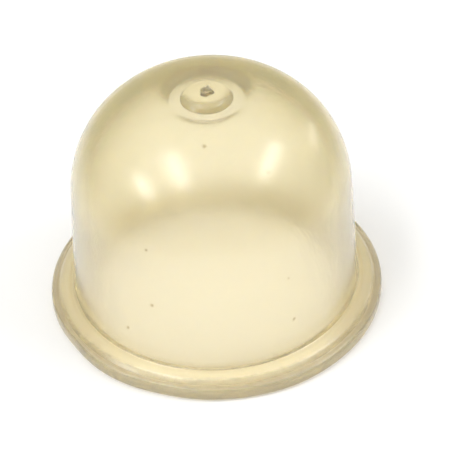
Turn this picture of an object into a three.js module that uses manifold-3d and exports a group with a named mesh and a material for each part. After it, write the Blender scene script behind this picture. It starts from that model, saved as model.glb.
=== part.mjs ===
// Primer bulb of a small engine's carburettor: a hollow moulded dome on a stepped sealing flange.
// Millimetres, +Z up. The origin is the middle of the underside, on the bulb's axis.
import * as THREE from "three";
import { mergeVertices } from "three/addons/utils/BufferGeometryUtils.js";
import Module from "manifold-3d";

const wasm = await Module();
wasm.setup();

// Flange: a round-edged lip, and inside it the low bead that the retaining plate presses on.
const flangeDiameter = 22.3;
const lipThickness = 0.95;
const lipEdgeRound = 0.3;
const undersideRound = 0.3;
const beadDiameter = 20.7;
const beadFootDiameter = 21.4;
const beadHeight = 1.34;
const beadRound = 0.7;
const beadFootFillet = 0.14;

// Dome: a slightly tapered wall, one large shoulder and a ceiling of its own thickness.
const wallDiameter = 19.1;
const wallThickness = 1;
const wallDraft = THREE.MathUtils.degToRad(2.3);
const wallFootRise = 0.06;
const wallFootFillet = 0.28;
const domeHeight = 16.52;
const shoulderRadius = 7.55;
const crownThickness = 0.95;
const mouthRound = 0.2;

// Crown: a shallow dish in the top, with a low button with sloping sides in its middle.
const dishDiameter = 5.9;
const dishFloorDiameter = 4.8;
const dishDepth = 0.33;
const dishRimRound = 1.4;
const dishFloorRound = 0.4;
const buttonDiameter = 3.44;
const buttonRimDiameter = 2.7;
const buttonHeight = 0.52;
const buttonRound = 0.8;
const buttonFillet = 0.12;

// Torn stub of the moulding gate on the button, a little in front of the axis.
const gateDiameter = 0.78;
const gateRimDiameter = 0.47;
const gateShoulderDiameter = 0.66;
const gateShoulderHeight = 0.18;
const gateHeight = 0.2;
const gateRoot = 0.2;
const gateHollow = 0.14;
const gateOffset = new THREE.Vector2(0, -0.12);
const gatePeakHeight = 0.22;
const gatePeakAngle = THREE.MathUtils.degToRad(52);
const gatePeakSharpness = 6;
const gateRaggedness = 0.16;
const gateLobes = 3;

// Fineness of the surface.
const turns = 72;
const gateTurns = 12;
const filletStep = THREE.MathUtils.degToRad(31);
const shoulderStep = THREE.MathUtils.degToRad(7.5);

// Heights and radii that follow from the sizes above.
const flangeRadius = flangeDiameter / 2;
const wallFootHeight = beadHeight + wallFootRise;
const shoulderCentreHeight = domeHeight - shoulderRadius;
const shoulderCentreRadius = wallRadiusAt(shoulderCentreHeight) - shoulderRadius / Math.cos(wallDraft);
const dishRimRadius = dishDiameter / 2;
const dishRimAngle = Math.acos((dishRimRadius - shoulderCentreRadius) / shoulderRadius);
const dishFloorHeight = domeHeight - dishDepth;
const buttonTopHeight = dishFloorHeight + buttonHeight;
const ceilingHeight = dishFloorHeight - crownThickness;
const innerShoulderRadius = shoulderRadius - wallThickness;

// Radius of the dome's straight outer wall at a height; it leans in from its foot on the flange.
function wallRadiusAt(height) {
  return wallDiameter / 2 - (height - wallFootHeight) * Math.tan(wallDraft);
}

function innerRadiusAt(height) {
  return wallRadiusAt(height) - wallThickness / Math.cos(wallDraft);
}

// A point of the section: distance from the axis, height, and the radius that rounds it.
function corner(radius, height, round = 0) {
  return { place: new THREE.Vector2(radius, height), round };
}

// The arc that rounds one corner, tangent to both of its sides. Two corners share a side by their radii.
function roundedCorner(before, here, after, step) {
  const back = before.place.clone().sub(here.place);
  const ahead = after.place.clone().sub(here.place);
  const roomBack = (back.length() * here.round) / (here.round + before.round);
  const roomAhead = (ahead.length() * here.round) / (here.round + after.round);
  back.normalize();
  ahead.normalize();
  const halfAngle = Math.acos(THREE.MathUtils.clamp(back.dot(ahead), -1, 1)) / 2;
  const reach = Math.min(here.round / Math.tan(halfAngle), roomBack, roomAhead);
  const radius = reach * Math.tan(halfAngle);
  const towardsCentre = back.clone().add(ahead).normalize();
  const centre = here.place.clone().addScaledVector(towardsCentre, radius / Math.sin(halfAngle));
  const start = here.place.clone().addScaledVector(back, reach).sub(centre);
  const turn = (Math.PI - 2 * halfAngle) * Math.sign(ahead.cross(back));
  const steps = Math.max(2, Math.ceil(Math.abs(turn) / step));
  const points = [];
  for (let i = 0; i <= steps; i += 1) {
    const point = start.clone().rotateAround(new THREE.Vector2(0, 0), (turn * i) / steps);
    points.push(point.add(centre));
  }
  return points;
}

function roundOutline(corners) {
  return corners.flatMap((here, i) => {
    if (here.round === 0) {
      return [here.place];
    }
    const step = here.round > wallThickness ? shoulderStep : filletStep;
    return roundedCorner(corners[i - 1], here, corners[i + 1], step);
  });
}

function buttonCorners() {
  return [
    corner(0, buttonTopHeight),
    corner(buttonRimDiameter / 2, buttonTopHeight, buttonRound),
    corner(buttonDiameter / 2, dishFloorHeight, buttonFillet),
  ];
}

function dishCorners() {
  const rimHeight = shoulderCentreHeight + shoulderRadius * Math.sin(dishRimAngle);
  return [
    corner(dishFloorDiameter / 2, dishFloorHeight, dishFloorRound),
    corner(dishRimRadius, rimHeight, dishRimRound),
  ];
}

// The outer shoulder, from just outside the dish's rim down to where it runs into the straight wall.
function shoulderCorners() {
  const steps = Math.ceil((dishRimAngle - wallDraft) / shoulderStep);
  const corners = [];
  for (let i = 1; i <= steps; i += 1) {
    const angle = dishRimAngle + ((wallDraft - dishRimAngle) * i) / steps;
    const radius = shoulderCentreRadius + shoulderRadius * Math.cos(angle);
    corners.push(corner(radius, shoulderCentreHeight + shoulderRadius * Math.sin(angle)));
  }
  return corners;
}

function flangeCorners() {
  return [
    corner(wallRadiusAt(wallFootHeight), wallFootHeight, wallFootFillet),
    corner(beadDiameter / 2, beadHeight, beadRound),
    corner(beadFootDiameter / 2, lipThickness, beadFootFillet),
    corner(flangeRadius, lipThickness, lipEdgeRound),
    corner(flangeRadius, 0, undersideRound),
  ];
}

function insideCorners() {
  return [
    corner(innerRadiusAt(0), 0, mouthRound),
    corner(innerRadiusAt(ceilingHeight), ceilingHeight, innerShoulderRadius),
    corner(0, ceilingHeight),
  ];
}

// A closed solid turned about +Z. Its section starts on the axis at the top and ends on the axis.
function turned(section, segments) {
  const geometry = new THREE.LatheGeometry([...section].reverse(), segments);
  geometry.rotateX(Math.PI / 2);
  geometry.deleteAttribute("normal");
  geometry.deleteAttribute("uv");
  return mergeVertices(geometry, 1e-4);
}

function bulbShell() {
  const corners = [
    ...buttonCorners(),
    ...dishCorners(),
    ...shoulderCorners(),
    ...flangeCorners(),
    ...insideCorners(),
  ];
  return turned(roundOutline(corners), turns);
}

// A small hollow stub whose rim is uneven and rises to one torn peak.
function tornGate() {
  const radius = gateDiameter / 2;
  const section = [
    new THREE.Vector2(0, gateHeight - gateHollow),
    new THREE.Vector2(gateRimDiameter / 2, gateHeight),
    new THREE.Vector2(gateShoulderDiameter / 2, gateShoulderHeight),
    new THREE.Vector2(radius, 0),
    new THREE.Vector2(radius, -gateRoot),
    new THREE.Vector2(0, -gateRoot),
  ];
  const geometry = turned(section, gateTurns);
  const vertices = geometry.attributes.position;
  for (let i = 0; i < vertices.count; i += 1) {
    const x = vertices.getX(i);
    const y = vertices.getY(i);
    const z = vertices.getZ(i);
    const angle = Math.atan2(y, x);
    const ragged = 1 + gateRaggedness * Math.cos(gateLobes * angle);
    const onRim = z > 0 && Math.hypot(x, y) > 0;
    const towardsPeak = Math.max(0, Math.cos(angle - gatePeakAngle)) ** gatePeakSharpness;
    vertices.setXYZ(i, x * ragged, y * ragged, onRim ? z + gatePeakHeight * towardsPeak : z);
  }
  geometry.translate(gateOffset.x, gateOffset.y, buttonTopHeight);
  return geometry;
}

function solidOf(geometry) {
  const vertProperties = new Float32Array(geometry.attributes.position.array);
  const triVerts = new Uint32Array(geometry.index.array);
  return new wasm.Manifold(new wasm.Mesh({ numProp: 3, vertProperties, triVerts }));
}

function geometryOf(solid) {
  const mesh = solid.getMesh();
  const geometry = new THREE.BufferGeometry();
  geometry.setAttribute("position", new THREE.BufferAttribute(mesh.vertProperties, 3));
  geometry.setIndex(new THREE.BufferAttribute(mesh.triVerts, 1));
  geometry.computeVertexNormals();
  return geometry;
}

// Clear elastomer, aged to a warm cream.
function agedElastomer() {
  return new THREE.MeshStandardMaterial({ color: 0xf0e3b9, roughness: 0.35, metalness: 0 });
}

function primerBulb() {
  const bulb = solidOf(bulbShell()).add(solidOf(tornGate()));
  const mesh = new THREE.Mesh(geometryOf(bulb), agedElastomer());
  mesh.name = "primer_bulb";
  return mesh;
}

const group = new THREE.Group();
group.add(primerBulb());

export default group;
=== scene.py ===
import math

import bpy
from mathutils import Matrix, Vector, noise


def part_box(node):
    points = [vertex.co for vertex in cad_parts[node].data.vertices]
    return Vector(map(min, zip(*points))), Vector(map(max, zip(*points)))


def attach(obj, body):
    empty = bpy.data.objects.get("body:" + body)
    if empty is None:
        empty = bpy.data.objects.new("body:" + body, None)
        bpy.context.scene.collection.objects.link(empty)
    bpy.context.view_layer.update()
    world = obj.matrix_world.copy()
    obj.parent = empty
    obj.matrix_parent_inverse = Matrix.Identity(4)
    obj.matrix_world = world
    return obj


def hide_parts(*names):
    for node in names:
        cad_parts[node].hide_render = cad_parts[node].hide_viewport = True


# A one-piece primer bulb of aged, hazy elastomer that stands on its flange on a white table.

MM = 0.001
NODE = "primer_bulb"

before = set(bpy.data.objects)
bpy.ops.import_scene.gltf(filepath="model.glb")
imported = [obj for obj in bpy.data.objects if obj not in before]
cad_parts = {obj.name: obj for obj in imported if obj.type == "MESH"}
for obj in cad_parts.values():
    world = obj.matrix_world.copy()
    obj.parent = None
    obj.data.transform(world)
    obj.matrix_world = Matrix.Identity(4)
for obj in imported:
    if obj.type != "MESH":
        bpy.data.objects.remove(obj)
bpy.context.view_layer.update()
node_low, node_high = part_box(NODE)

# Section of the bulb, in metres. The flange's radius comes from the frame.
FLANGE_RADIUS = node_high.x
LIP_THICKNESS = 0.95 * MM
LIP_EDGE_ROUND = 0.3 * MM
UNDERSIDE_ROUND = 0.3 * MM
BEAD_RADIUS = 10.35 * MM
BEAD_FOOT_RADIUS = 10.7 * MM
BEAD_HEIGHT = 1.34 * MM
BEAD_ROUND = 0.7 * MM
BEAD_FOOT_FILLET = 0.14 * MM
WALL_RADIUS = 9.55 * MM
WALL_THICKNESS = 1 * MM
WALL_DRAFT = math.radians(2.3)
WALL_FOOT_RISE = 0.06 * MM
WALL_FOOT_HEIGHT = BEAD_HEIGHT + WALL_FOOT_RISE
WALL_FOOT_FILLET = 0.45 * MM
DOME_HEIGHT = 16.52 * MM
SHOULDER_RADIUS = 7.55 * MM
SHOULDER_HEIGHT = DOME_HEIGHT - SHOULDER_RADIUS
CROWN_THICKNESS = 0.95 * MM
MOUTH_ROUND = 0.2 * MM
DISH_RADIUS = 2.95 * MM
DISH_FLOOR_RADIUS = 2.4 * MM
DISH_DEPTH = 0.33 * MM
DISH_FLOOR_HEIGHT = DOME_HEIGHT - DISH_DEPTH
DISH_RIM_ROUND = 1.4 * MM
DISH_FLOOR_ROUND = 0.4 * MM
BUTTON_RADIUS = 1.72 * MM
BUTTON_RIM_RADIUS = 1.35 * MM
BUTTON_HEIGHT = 0.52 * MM
BUTTON_TOP_HEIGHT = DISH_FLOOR_HEIGHT + BUTTON_HEIGHT
BUTTON_ROUND = 0.8 * MM
BUTTON_FILLET = 0.12 * MM

# Torn stub of the gate, on the button. Skirt and rim are shares of the way out to its ragged edge.
GATE_RADIUS = 0.39 * MM
GATE_HEIGHT = 0.196 * MM
GATE_CENTRE = Vector((0, -0.12)) * MM
GATE_SKIRT = 1.15
GATE_SKIRT_WIDTH = 0.3
GATE_RIM = 0.75
GATE_RIM_WIDTH = 0.3
GATE_PEAK_ANGLE = math.radians(52)
GATE_PEAK_SHARPNESS = 6
GATE_TEAR_SIZE = 0.16 * MM
# Lobes of the ragged edge: how far out, how many, and where they start.
GATE_LOBES = ((0.16, 3, 0), (0.08, 5, 1))
# Shares of the gate's height that its floor, rim, peak and tears have.
GATE_FLOOR_SHARE = 0.25
GATE_RIM_SHARE = 0.75
GATE_PEAK_SHARE = 1.1
GATE_TEAR_SHARE = 0.25

# Places where the flange's edge isn't quite round: direction, half width, and how far it moves out.
FLANGE_EDGE_WAVES = (
    (math.radians(-151), math.radians(12), -0.15 * MM),
    (math.radians(-111), math.radians(11), -0.12 * MM),
    (math.radians(-66), math.radians(13), 0.07 * MM),
)

# Fineness of the surface. The first steps of the shoulder are taken up by the dish's rounded rim.
TURNS = 480
ARC_STEP = math.radians(9)
SHOULDER_STEPS = 48
SHOULDER_FIRST_STEP = 4
LONGEST_EDGE = 0.4 * MM
GATE_EDGE = 0.03 * MM
GATE_REACH = 1.8 * GATE_RADIUS

# Dusty underside, matte torn gate, and a haze that varies over the rest.
DUST_HEIGHT = 0.1 * MM
TORN_HEIGHT = 0.06 * MM
DUSTY_ROUGHNESS = 0.7
CLEAR_ROUGHNESS = 0.15
HAZY_ROUGHNESS = 0.26
CLOUD_SCALE = 700.0
GRAIN_SCALE = 6000.0
GRAIN_DEPTH = 0.02 * MM
GRAIN_STRENGTH = 0.4
GRAIN_SHARE = 0.25
GRAIN_COLOUR = (0.92, 0.90, 0.84, 1)
CLOUDED_COLOUR = (0.975, 0.965, 0.94, 1)
WHITE = (1, 1, 1, 1)

# The warm tint of the clear wall, which deepens with the way through it.
TINT_COLOUR = (0.944, 0.79, 0.13, 1)
TINT_DENSITY = 270.0

# Painted shade in the creases at the foot of the wall and outside the bead, mixed with some patchy grime: how
# much there is at each radius.
SHADE_AND_GRIME_COLOUR = (0.62, 0.56, 0.45, 1)
SHADE_AND_GRIME_HEIGHT = 1.9 * MM
SHADE_AND_GRIME_BY_RADIUS = (
    (9.4 * MM, 0.0),
    (9.6 * MM, 0.55),
    (9.85 * MM, 0.3),
    (10.05 * MM, 0.0),
    (10.4 * MM, 0.0),
    (10.65 * MM, 0.95),
    (10.95 * MM, 0.35),
    (11.2 * MM, 0.35),
)

# Specks on the dome: direction, height and size.
SPECK_COLOUR = (0.45, 0.38, 0.26, 1)
SPECKS = (
    (math.radians(-118.4), 10.5 * MM, 0.15 * MM),
    (math.radians(-116.7), 6.16 * MM, 0.195 * MM),
    (math.radians(-128.5), 3.5 * MM, 0.18 * MM),
    (math.radians(-58.9), 4.08 * MM, 0.18 * MM),
    (math.radians(-60.4), 7.58 * MM, 0.135 * MM),
    (math.radians(-58.2), 14.5 * MM, 0.15 * MM),
    (math.radians(-93.7), 15.92 * MM, 0.2 * MM),
)

# Table: white near the bulb, and lifted a little so that it stays white farther out.
TABLE_SIZE = 3.0
TABLE_GAP = 0.02 * MM
TABLE_COLOUR = (0.93, 0.93, 0.92)
TABLE_LIFT = 0.12
BENT_LIFT = 0.2
FAR_TABLE_LIFT = 0.3
FAR_TABLE_START = 0.08
FAR_TABLE_END = 0.6

# Painted light: an emission on the table under the bulb, which bent rays see in place of the light that the
# clear bulb lets through, by place.
MOUTH_GLOW = (0.22, 0.20, 0.18, 1)
FLANGE_GLOW = (0.70, 0.69, 0.63, 1)
SIDE_GLOW = (0.34, 0.32, 0.27, 1)
EDGE_GLOW = (0.08, 0.07, 0.06, 1)
GLOW_FRONT = -8.5 * MM
GLOW_SIDE = -4 * MM
BRIGHT_RING_RADIUS = 9.5 * MM
DIM_RING_RADIUS = 10.2 * MM

# What bent rays see: a table that dims with distance, and a room that is dim at the horizon.
LIT_TABLE_RADIUS = 0.02
DIM_TABLE_RADIUS = 0.08
HORIZON_COLOUR = (0.53, 0.495, 0.33, 1)
HORIZON_TOP = 0.45
BRIGHT_SKY = 0.9
LIGHT_LEVEL = 0.7

# Strip lights. Their places and sizes are shares of the lights' height, and the last value is watts.
LIGHT_HEIGHT = 0.6
STRIPS = {
    "strip_left": (-0.44, -0.30, 1.0, 0.20, 0.70, 1.1),
    "strip_far_left": (-1.42, -0.55, 1.0, 0.28, 0.70, 2.0),
    "strip_right": (0.88, -0.12, 1.0, 0.20, 0.74, 1.4),
    "strip_low_right": (1.40, 0.90, 0.39, 0.14, 0.45, 0.35),
}

# Camera: where the photograph was taken from.
PHOTO_SIDE = 452
PIXELS_PER_METRE = 15059
CAMERA_DISTANCE = 180 * MM
CAMERA_ELEVATION = math.radians(40.06)
CAMERA_AIM_HEIGHT = 5.75 * MM
CAMERA_AIM_RIGHT = math.radians(0.264)
CAMERA_AIM_UP = math.radians(-0.086)
CAMERA_ROLL = math.radians(-3.095)
SENSOR_WIDTH = 36


def corner(radius, height, rounding=0.0):
    return Vector((radius, height)), rounding


def rounded_corner(before, here, after):
    """The arc that rounds one corner of the section, tangent to both of its sides."""
    place, rounding = here
    back = (before[0] - place).normalized()
    ahead = (after[0] - place).normalized()
    half_angle = back.angle(ahead) / 2
    reach = rounding / math.tan(half_angle)
    centre = place + (back + ahead).normalized() * (rounding / math.sin(half_angle))
    start = place + back * reach - centre
    turn = math.pi - 2 * half_angle
    if back.x * ahead.y - back.y * ahead.x > 0:
        turn = -turn
    steps = max(2, math.ceil(abs(turn) / ARC_STEP), math.ceil(abs(turn) * rounding / LONGEST_EDGE))
    return [centre + Matrix.Rotation(turn * i / steps, 2) @ start for i in range(steps + 1)]


def wall_radius_at(height):
    return WALL_RADIUS - (height - WALL_FOOT_HEIGHT) * math.tan(WALL_DRAFT)


def inner_radius_at(height):
    return wall_radius_at(height) - WALL_THICKNESS / math.cos(WALL_DRAFT)


def shoulder_centre_radius():
    return wall_radius_at(SHOULDER_HEIGHT) - SHOULDER_RADIUS / math.cos(WALL_DRAFT)


def outer_radius_at(height):
    """Radius of the dome's outside at a height: the straight wall, and above it the shoulder's arc."""
    above = height - SHOULDER_HEIGHT
    if above < 0:
        return wall_radius_at(height)
    return shoulder_centre_radius() + math.sqrt(SHOULDER_RADIUS**2 - above**2)


def shoulder_corner(angle, rounding=0.0):
    radius = shoulder_centre_radius() + SHOULDER_RADIUS * math.cos(angle)
    return corner(radius, SHOULDER_HEIGHT + SHOULDER_RADIUS * math.sin(angle), rounding)


def crown_corners():
    """From the axis on top of the button, over the dish and down the shoulder."""
    rim_angle = math.acos((DISH_RADIUS - shoulder_centre_radius()) / SHOULDER_RADIUS)
    corners = [
        corner(0, BUTTON_TOP_HEIGHT),
        corner(BUTTON_RIM_RADIUS, BUTTON_TOP_HEIGHT, BUTTON_ROUND),
        corner(BUTTON_RADIUS, DISH_FLOOR_HEIGHT, BUTTON_FILLET),
        corner(DISH_FLOOR_RADIUS, DISH_FLOOR_HEIGHT, DISH_FLOOR_ROUND),
        shoulder_corner(rim_angle, DISH_RIM_ROUND),
    ]
    for i in range(SHOULDER_FIRST_STEP, SHOULDER_STEPS + 1):
        corners.append(shoulder_corner(rim_angle + (WALL_DRAFT - rim_angle) * i / SHOULDER_STEPS))
    return corners


def flange_corners():
    return [
        corner(WALL_RADIUS, WALL_FOOT_HEIGHT, WALL_FOOT_FILLET),
        corner(BEAD_RADIUS, BEAD_HEIGHT, BEAD_ROUND),
        corner(BEAD_FOOT_RADIUS, LIP_THICKNESS, BEAD_FOOT_FILLET),
        corner(FLANGE_RADIUS, LIP_THICKNESS, LIP_EDGE_ROUND),
        corner(FLANGE_RADIUS, 0, UNDERSIDE_ROUND),
    ]


def inside_corners():
    ceiling = DISH_FLOOR_HEIGHT - CROWN_THICKNESS
    return [
        corner(inner_radius_at(0), 0, MOUTH_ROUND),
        corner(inner_radius_at(ceiling), ceiling, SHOULDER_RADIUS - WALL_THICKNESS),
        corner(0, ceiling),
    ]


def rounded_outline():
    corners = crown_corners() + flange_corners() + inside_corners()
    outline = []
    for i, (place, rounding) in enumerate(corners):
        if rounding:
            outline += rounded_corner(corners[i - 1], corners[i], corners[i + 1])
        else:
            outline.append(place)
    return outline


def fine_section():
    """The section's points, with no long edge left, and with short ones where the gate is shaped."""
    outline = rounded_outline()
    points = [outline[0]]
    for place in outline[1:]:
        start = points[-1]
        on_button = start.y > DISH_FLOOR_HEIGHT and start.x < GATE_REACH
        edge = GATE_EDGE if on_button else LONGEST_EDGE
        steps = math.ceil((place - start).length / edge)
        points += [start.lerp(place, (k + 1) / steps) for k in range(steps)]
    return points


def revolve(points):
    """A closed mesh turned about +Z; the first and the last point lie on the axis."""
    rings = points[1:-1]
    vertices = [(0, 0, points[0].y)]
    for point in rings:
        for k in range(TURNS):
            angle = 2 * math.pi * k / TURNS
            vertices.append((point.x * math.cos(angle), point.x * math.sin(angle), point.y))
    vertices.append((0, 0, points[-1].y))
    last = len(vertices) - 1
    end = last - TURNS
    faces = []
    for k in range(TURNS):
        after = (k + 1) % TURNS
        faces.append((0, 1 + k, 1 + after))
        for ring in range(len(rings) - 1):
            here = 1 + ring * TURNS
            below = here + TURNS
            faces.append((here + k, below + k, below + after, here + after))
        faces.append((last, end + after, end + k))
    mesh = bpy.data.meshes.new("moulded_bulb")
    mesh.from_pydata(vertices, [], faces)
    mesh.shade_smooth()
    return mesh


def gate_relief(x, y):
    """Height of the torn gate stub over a point of the button's top: a ragged crater with one peak."""
    from_centre = Vector((x, y)) - GATE_CENTRE
    angle = math.atan2(from_centre.y, from_centre.x)
    edge = GATE_RADIUS * (1 + sum(out * math.cos(count * angle + start) for out, count, start in GATE_LOBES))
    reach = from_centre.length / edge
    if reach > GATE_SKIRT:
        return 0.0
    side = min(1.0, (GATE_SKIRT - reach) / GATE_SKIRT_WIDTH)
    rim = math.exp(-((reach - GATE_RIM) / GATE_RIM_WIDTH) ** 2)
    peak = max(0.0, math.cos(angle - GATE_PEAK_ANGLE)) ** GATE_PEAK_SHARPNESS
    tear = noise.noise(Vector((x, y, 0)) / GATE_TEAR_SIZE)
    share = GATE_FLOOR_SHARE + GATE_RIM_SHARE * rim + GATE_PEAK_SHARE * peak * rim + GATE_TEAR_SHARE * tear
    smooth_side = side * side * (3 - 2 * side)
    return GATE_HEIGHT * share * smooth_side


def shape_gate(mesh):
    for vertex in mesh.vertices:
        x, y, z = vertex.co
        if z > DISH_FLOOR_HEIGHT and math.hypot(x, y) < GATE_REACH:
            vertex.co.z += gate_relief(x, y)


def shape_flange_edge(mesh):
    """The lip isn't trimmed quite round: two flats at the front left, and a low swell beside them."""
    for vertex in mesh.vertices:
        x, y = vertex.co.xy
        radius = math.hypot(x, y)
        if radius < BEAD_FOOT_RADIUS:
            continue
        outer_share = (radius - BEAD_FOOT_RADIUS) / (FLANGE_RADIUS - BEAD_FOOT_RADIUS)
        change = 0.0
        for place, width, depth in FLANGE_EDGE_WAVES:
            away = (math.atan2(y, x) - place) / width
            change += depth * math.exp(-away * away)
        vertex.co.xy *= 1 + change * outer_share / radius


def make_bulb():
    mesh = revolve(fine_section())
    shape_gate(mesh)
    shape_flange_edge(mesh)
    bulb = bpy.data.objects.new("moulded_bulb", mesh)
    bpy.context.scene.collection.objects.link(bulb)
    mesh.materials.append(aged_elastomer())
    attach(bulb, "root")
    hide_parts(NODE)


class Nodes:
    """Small helper: adds shader nodes to one material or world and links them by name."""

    def __init__(self, tree):
        self.tree = tree
        tree.nodes.clear()

    def add(self, kind, links=None, **settings):
        node = self.tree.nodes.new(kind)
        for name, value in settings.items():
            setattr(node, name, value)
        for socket, value in (links or {}).items():
            if isinstance(value, bpy.types.NodeSocket):
                self.tree.links.new(value, node.inputs[socket])
            else:
                node.inputs[socket].default_value = value
        return node

    def math(self, operation, first, second):
        return self.add("ShaderNodeMath", {0: first, 1: second}, operation=operation).outputs[0]

    def spread(self, value, start, end, low=0.0, high=1.0, **settings):
        """A value's way from start to end, spread from low to high and held at both ends."""
        links = {"Value": value, "From Min": start, "From Max": end, "To Min": low, "To Max": high}
        return self.add("ShaderNodeMapRange", links, **settings).outputs["Result"]

    def mixed(self, amount, first, second, kind="RGBA"):
        """The first colour or number, which turns into the second as the amount grows to 1."""
        links = {"Factor": amount, "A": first, "B": second}
        return self.add("ShaderNodeMix", links, data_type=kind).outputs["Result"]


def shade_and_grime_ramp(nodes, radius):
    """How much painted crease shade and grime there is at a radius, as grey."""
    start = SHADE_AND_GRIME_BY_RADIUS[0][0]
    end = SHADE_AND_GRIME_BY_RADIUS[-1][0]
    ramp = nodes.add("ShaderNodeValToRGB", {"Fac": nodes.spread(radius, start, end)})
    stops = ramp.color_ramp.elements
    for place, amount in SHADE_AND_GRIME_BY_RADIUS[1:-1]:
        stops.new((place - start) / (end - start))
    for stop, (place, amount) in zip(stops, SHADE_AND_GRIME_BY_RADIUS):
        stop.color = (amount, amount, amount, 1)
    return ramp.outputs["Color"]


def shade_and_grime_amount(nodes, place, height, patches):
    """How much painted crease shade and grime the flange has: by radius, in patches, and only below a small
    height.
    """
    across = nodes.add("ShaderNodeVectorMath", {0: place, 1: (1, 1, 0)}, operation="MULTIPLY").outputs[0]
    radius = nodes.add("ShaderNodeVectorMath", {0: across}, operation="LENGTH").outputs["Value"]
    low = nodes.math("LESS_THAN", height, SHADE_AND_GRIME_HEIGHT)
    amount = nodes.math("MULTIPLY", shade_and_grime_ramp(nodes, radius), low)
    return nodes.math("MULTIPLY", amount, nodes.spread(patches, 0.3, 0.6, low=0.5))


def speck_amount(nodes, place):
    """1 at each speck on the dome, and 0 away from them."""
    amount = 0.0
    for direction, height, size in SPECKS:
        radius = outer_radius_at(height)
        centre = (radius * math.cos(direction), radius * math.sin(direction), height)
        away = nodes.add("ShaderNodeVectorMath", {0: place, 1: centre}, operation="DISTANCE").outputs["Value"]
        amount = nodes.math("MAXIMUM", amount, nodes.spread(away, size, size / 3))
    return amount


def roughness(nodes, height, cloud):
    """Hazy in clouds, and matte on the dusty underside and on the torn gate."""
    haze = nodes.spread(cloud, 0.0, 1.0, low=CLEAR_ROUGHNESS, high=HAZY_ROUGHNESS)
    dusty = nodes.spread(height, DUST_HEIGHT, 0.0)
    torn = nodes.spread(height, BUTTON_TOP_HEIGHT, BUTTON_TOP_HEIGHT + TORN_HEIGHT)
    return nodes.mixed(nodes.math("MAXIMUM", dusty, torn), haze, DUSTY_ROUGHNESS, kind="FLOAT")


def surface_colour(nodes, place, height, cloud, grain):
    """Nearly white, clouded and grained, with painted shade and grime in the flange's creases and the specks;
    the tint lies in the wall.
    """
    tone = nodes.add("ShaderNodeValToRGB", {"Fac": cloud})
    clouded, clear = tone.color_ramp.elements
    clouded.position = 0.3
    clouded.color = CLOUDED_COLOUR
    clear.position = 0.7
    clear.color = WHITE
    # painted shade in the creases at the wall's foot and outside the bead, with some patchy grime
    colour = nodes.mixed(shade_and_grime_amount(nodes, place, height, cloud), tone.outputs["Color"], SHADE_AND_GRIME_COLOUR)
    colour = nodes.mixed(speck_amount(nodes, place), colour, SPECK_COLOUR)
    return nodes.mixed(nodes.spread(grain, 0.4, 0.65, high=GRAIN_SHARE), colour, GRAIN_COLOUR)


def aged_elastomer():
    material = bpy.data.materials.new("aged_elastomer")
    material.use_nodes = True
    nodes = Nodes(material.node_tree)
    place = nodes.add("ShaderNodeTexCoord").outputs["Object"]
    height = nodes.add("ShaderNodeSeparateXYZ", {"Vector": place}).outputs["Z"]
    cloud = nodes.add(
        "ShaderNodeTexNoise", {"Vector": place, "Scale": CLOUD_SCALE, "Detail": 6.0, "Roughness": 0.7}
    ).outputs["Fac"]
    grain = nodes.add(
        "ShaderNodeTexNoise", {"Vector": place, "Scale": GRAIN_SCALE, "Detail": 3.0}
    ).outputs["Fac"]
    bump = nodes.add(
        "ShaderNodeBump", {"Height": grain, "Strength": GRAIN_STRENGTH, "Distance": GRAIN_DEPTH}
    )
    skin = nodes.add(
        "ShaderNodeBsdfPrincipled",
        {
            "Base Color": surface_colour(nodes, place, height, cloud, grain),
            "Roughness": roughness(nodes, height, cloud),
            "IOR": 1.5,
            "Transmission Weight": 0.93,
            "Subsurface Weight": 1.0,
            "Subsurface Radius": (1.0, 0.85, 0.6),
            "Subsurface Scale": 1.5 * MM,
            "Coat Weight": 0.7,
            "Coat Roughness": 0.4,
            "Coat IOR": 1.4,
            "Normal": bump.outputs["Normal"],
        },
    )
    tint = nodes.add("ShaderNodeVolumeAbsorption", {"Color": TINT_COLOUR, "Density": TINT_DENSITY})
    nodes.add(
        "ShaderNodeOutputMaterial",
        {"Surface": skin.outputs["BSDF"], "Volume": tint.outputs["Volume"]},
    )
    return material


def camera_ray(nodes):
    return nodes.add("ShaderNodeLightPath").outputs["Is Camera Ray"]


def bent_ray(nodes):
    """1 for rays that are seen in the bulb's gloss or through its wall, and 0 for the others."""
    path = nodes.add("ShaderNodeLightPath")
    return nodes.math("MAXIMUM", path.outputs["Is Transmission Ray"], path.outputs["Is Glossy Ray"])


def seen_ray(nodes):
    """1 for rays of the camera and for bent rays, and 0 for those that carry light."""
    return nodes.math("MAXIMUM", camera_ray(nodes), bent_ray(nodes))


def faded(nodes, fade):
    """White for all rays but bent ones, which get the horizon's colour as the fade grows to 1."""
    away = nodes.mixed(fade, WHITE, HORIZON_COLOUR)
    return nodes.mixed(bent_ray(nodes), WHITE, away)


def table_lift(nodes, distance):
    """How much the table is lifted: a little for seen rays, and more for bent ones and far away."""
    seen = nodes.math("MULTIPLY", seen_ray(nodes), TABLE_LIFT)
    more = nodes.math("MULTIPLY", bent_ray(nodes), BENT_LIFT - TABLE_LIFT)
    away = nodes.spread(distance, FAR_TABLE_START, FAR_TABLE_END, high=FAR_TABLE_LIFT)
    far = nodes.math("MULTIPLY", away, camera_ray(nodes))
    return nodes.math("ADD", nodes.math("ADD", seen, more), far)


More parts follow.
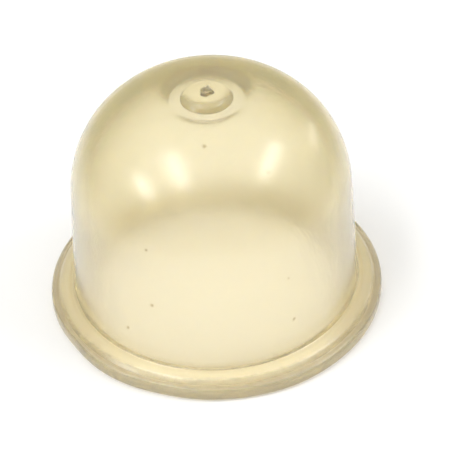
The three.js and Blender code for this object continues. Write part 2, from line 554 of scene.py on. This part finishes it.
def painted_light_under_bulb(nodes, place, distance):
    """Painted light on the table inside the bulb's edge: an emission that bent rays see in place of the light
    that the clear bulb passes on.
    """
    forward = nodes.add("ShaderNodeSeparateXYZ", {"Vector": place}).outputs["Y"]
    ring = nodes.mixed(nodes.spread(forward, GLOW_FRONT, GLOW_SIDE), FLANGE_GLOW, SIDE_GLOW)
    ring = nodes.mixed(nodes.spread(distance, BRIGHT_RING_RADIUS, DIM_RING_RADIUS), ring, EDGE_GLOW)
    in_mouth = nodes.math("LESS_THAN", distance, inner_radius_at(0))
    under_bulb = nodes.math("LESS_THAN", distance, FLANGE_RADIUS)
    strength = nodes.math("MULTIPLY", under_bulb, bent_ray(nodes))
    colour = nodes.mixed(in_mouth, ring, MOUTH_GLOW)
    return nodes.add("ShaderNodeEmission", {"Color": colour, "Strength": strength}).outputs[0]


def white_table():
    """White, and for bent rays dimmer away from the bulb, as a sheet of paper is on a grey bench."""
    material = bpy.data.materials.new("white_table")
    material.use_nodes = True
    nodes = Nodes(material.node_tree)
    place = nodes.add("ShaderNodeTexCoord").outputs["Object"]
    distance = nodes.add("ShaderNodeVectorMath", {0: place}, operation="LENGTH").outputs["Value"]
    level = faded(nodes, nodes.spread(distance, LIT_TABLE_RADIUS, DIM_TABLE_RADIUS))
    white = nodes.add("ShaderNodeVectorMath", {0: TABLE_COLOUR, 1: level}, operation="MULTIPLY").outputs[0]
    matte = nodes.add("ShaderNodeBsdfDiffuse", {"Color": white}).outputs[0]
    lift = table_lift(nodes, distance)
    glow = nodes.add("ShaderNodeEmission", {"Color": level, "Strength": lift}).outputs[0]
    both = nodes.add("ShaderNodeAddShader", {0: matte, 1: glow}).outputs[0]
    # painted pool of light on the table under the clear bulb, seen only by bent rays
    painted_pool = painted_light_under_bulb(nodes, place, distance)
    all_light = nodes.add("ShaderNodeAddShader", {0: both, 1: painted_pool}).outputs[0]
    nodes.add("ShaderNodeOutputMaterial", {"Surface": all_light})
    return material


def make_table():
    half = TABLE_SIZE / 2
    corners = [(-half, -half, 0), (half, -half, 0), (half, half, 0), (-half, half, 0)]
    mesh = bpy.data.meshes.new("table_top")
    mesh.from_pydata(corners, [], [(0, 1, 2, 3)])
    mesh.materials.append(white_table())
    table = bpy.data.objects.new("table_top", mesh)
    bpy.context.scene.collection.objects.link(table)
    table.location.z = node_low.z - TABLE_GAP


def make_world():
    """A white room that is brightest overhead and dims towards the horizon in bent rays."""
    world = bpy.data.worlds.new("studio")
    bpy.context.scene.world = world
    world.use_nodes = True
    nodes = Nodes(world.node_tree)
    towards = nodes.add("ShaderNodeTexCoord").outputs["Generated"]
    height = nodes.add("ShaderNodeSeparateXYZ", {"Vector": towards}).outputs["Z"]
    fade = nodes.spread(height, HORIZON_TOP, BRIGHT_SKY, low=1.0, high=0.0, interpolation_type="SMOOTHSTEP")
    strength = nodes.spread(seen_ray(nodes), 0.0, 1.0, low=LIGHT_LEVEL)
    sky = nodes.add("ShaderNodeBackground", {"Color": faded(nodes, fade), "Strength": strength})
    nodes.add("ShaderNodeOutputWorld", {"Surface": sky.outputs[0]})


def make_strip(name, x, y, z, width, length, watts):
    """A strip light that faces the bulb, with its long side as near to Y as that allows."""
    data = bpy.data.lights.new(name, "AREA")
    data.shape = "RECTANGLE"
    data.size = width * LIGHT_HEIGHT
    data.size_y = length * LIGHT_HEIGHT
    data.energy = watts
    lamp = bpy.data.objects.new(name, data)
    bpy.context.scene.collection.objects.link(lamp)
    place = Vector((x, y, z)) * LIGHT_HEIGHT
    away = place.normalized()
    side = Vector((0, 1, 0)).cross(away).normalized()
    along = away.cross(side)
    turn = Matrix((side, along, away)).transposed().to_4x4()
    lamp.matrix_world = Matrix.Translation(place) @ turn


def make_camera():
    """The photograph's camera, from the distance, elevation, aim and roll fitted to the outline."""
    back = Vector((0, -math.cos(CAMERA_ELEVATION), math.sin(CAMERA_ELEVATION)))
    across = Vector((1, 0, 0))
    above = back.cross(across)
    forward = -back + math.tan(CAMERA_AIM_RIGHT) * across + math.tan(CAMERA_AIM_UP) * above
    forward.normalize()
    level_right = forward.cross(above).normalized()
    level_up = level_right.cross(forward)
    right = math.cos(CAMERA_ROLL) * level_right + math.sin(CAMERA_ROLL) * level_up
    up = right.cross(forward)
    data = bpy.data.cameras.new("photo_camera")
    data.sensor_width = SENSOR_WIDTH
    data.lens = SENSOR_WIDTH * PIXELS_PER_METRE * CAMERA_DISTANCE / PHOTO_SIDE
    data.clip_start = CAMERA_DISTANCE / 100
    data.clip_end = TABLE_SIZE * 2
    camera = bpy.data.objects.new("photo_camera", data)
    bpy.context.scene.collection.objects.link(camera)
    place = back * CAMERA_DISTANCE + Vector((0, 0, CAMERA_AIM_HEIGHT))
    camera.matrix_world = Matrix.Translation(place) @ Matrix((right, up, -forward)).transposed().to_4x4()
    bpy.context.scene.camera = camera


make_bulb()
make_table()
make_world()
for strip, sizes in STRIPS.items():
    make_strip(strip, *sizes)
make_camera()
bpy.context.scene.view_settings.view_transform = "Standard"
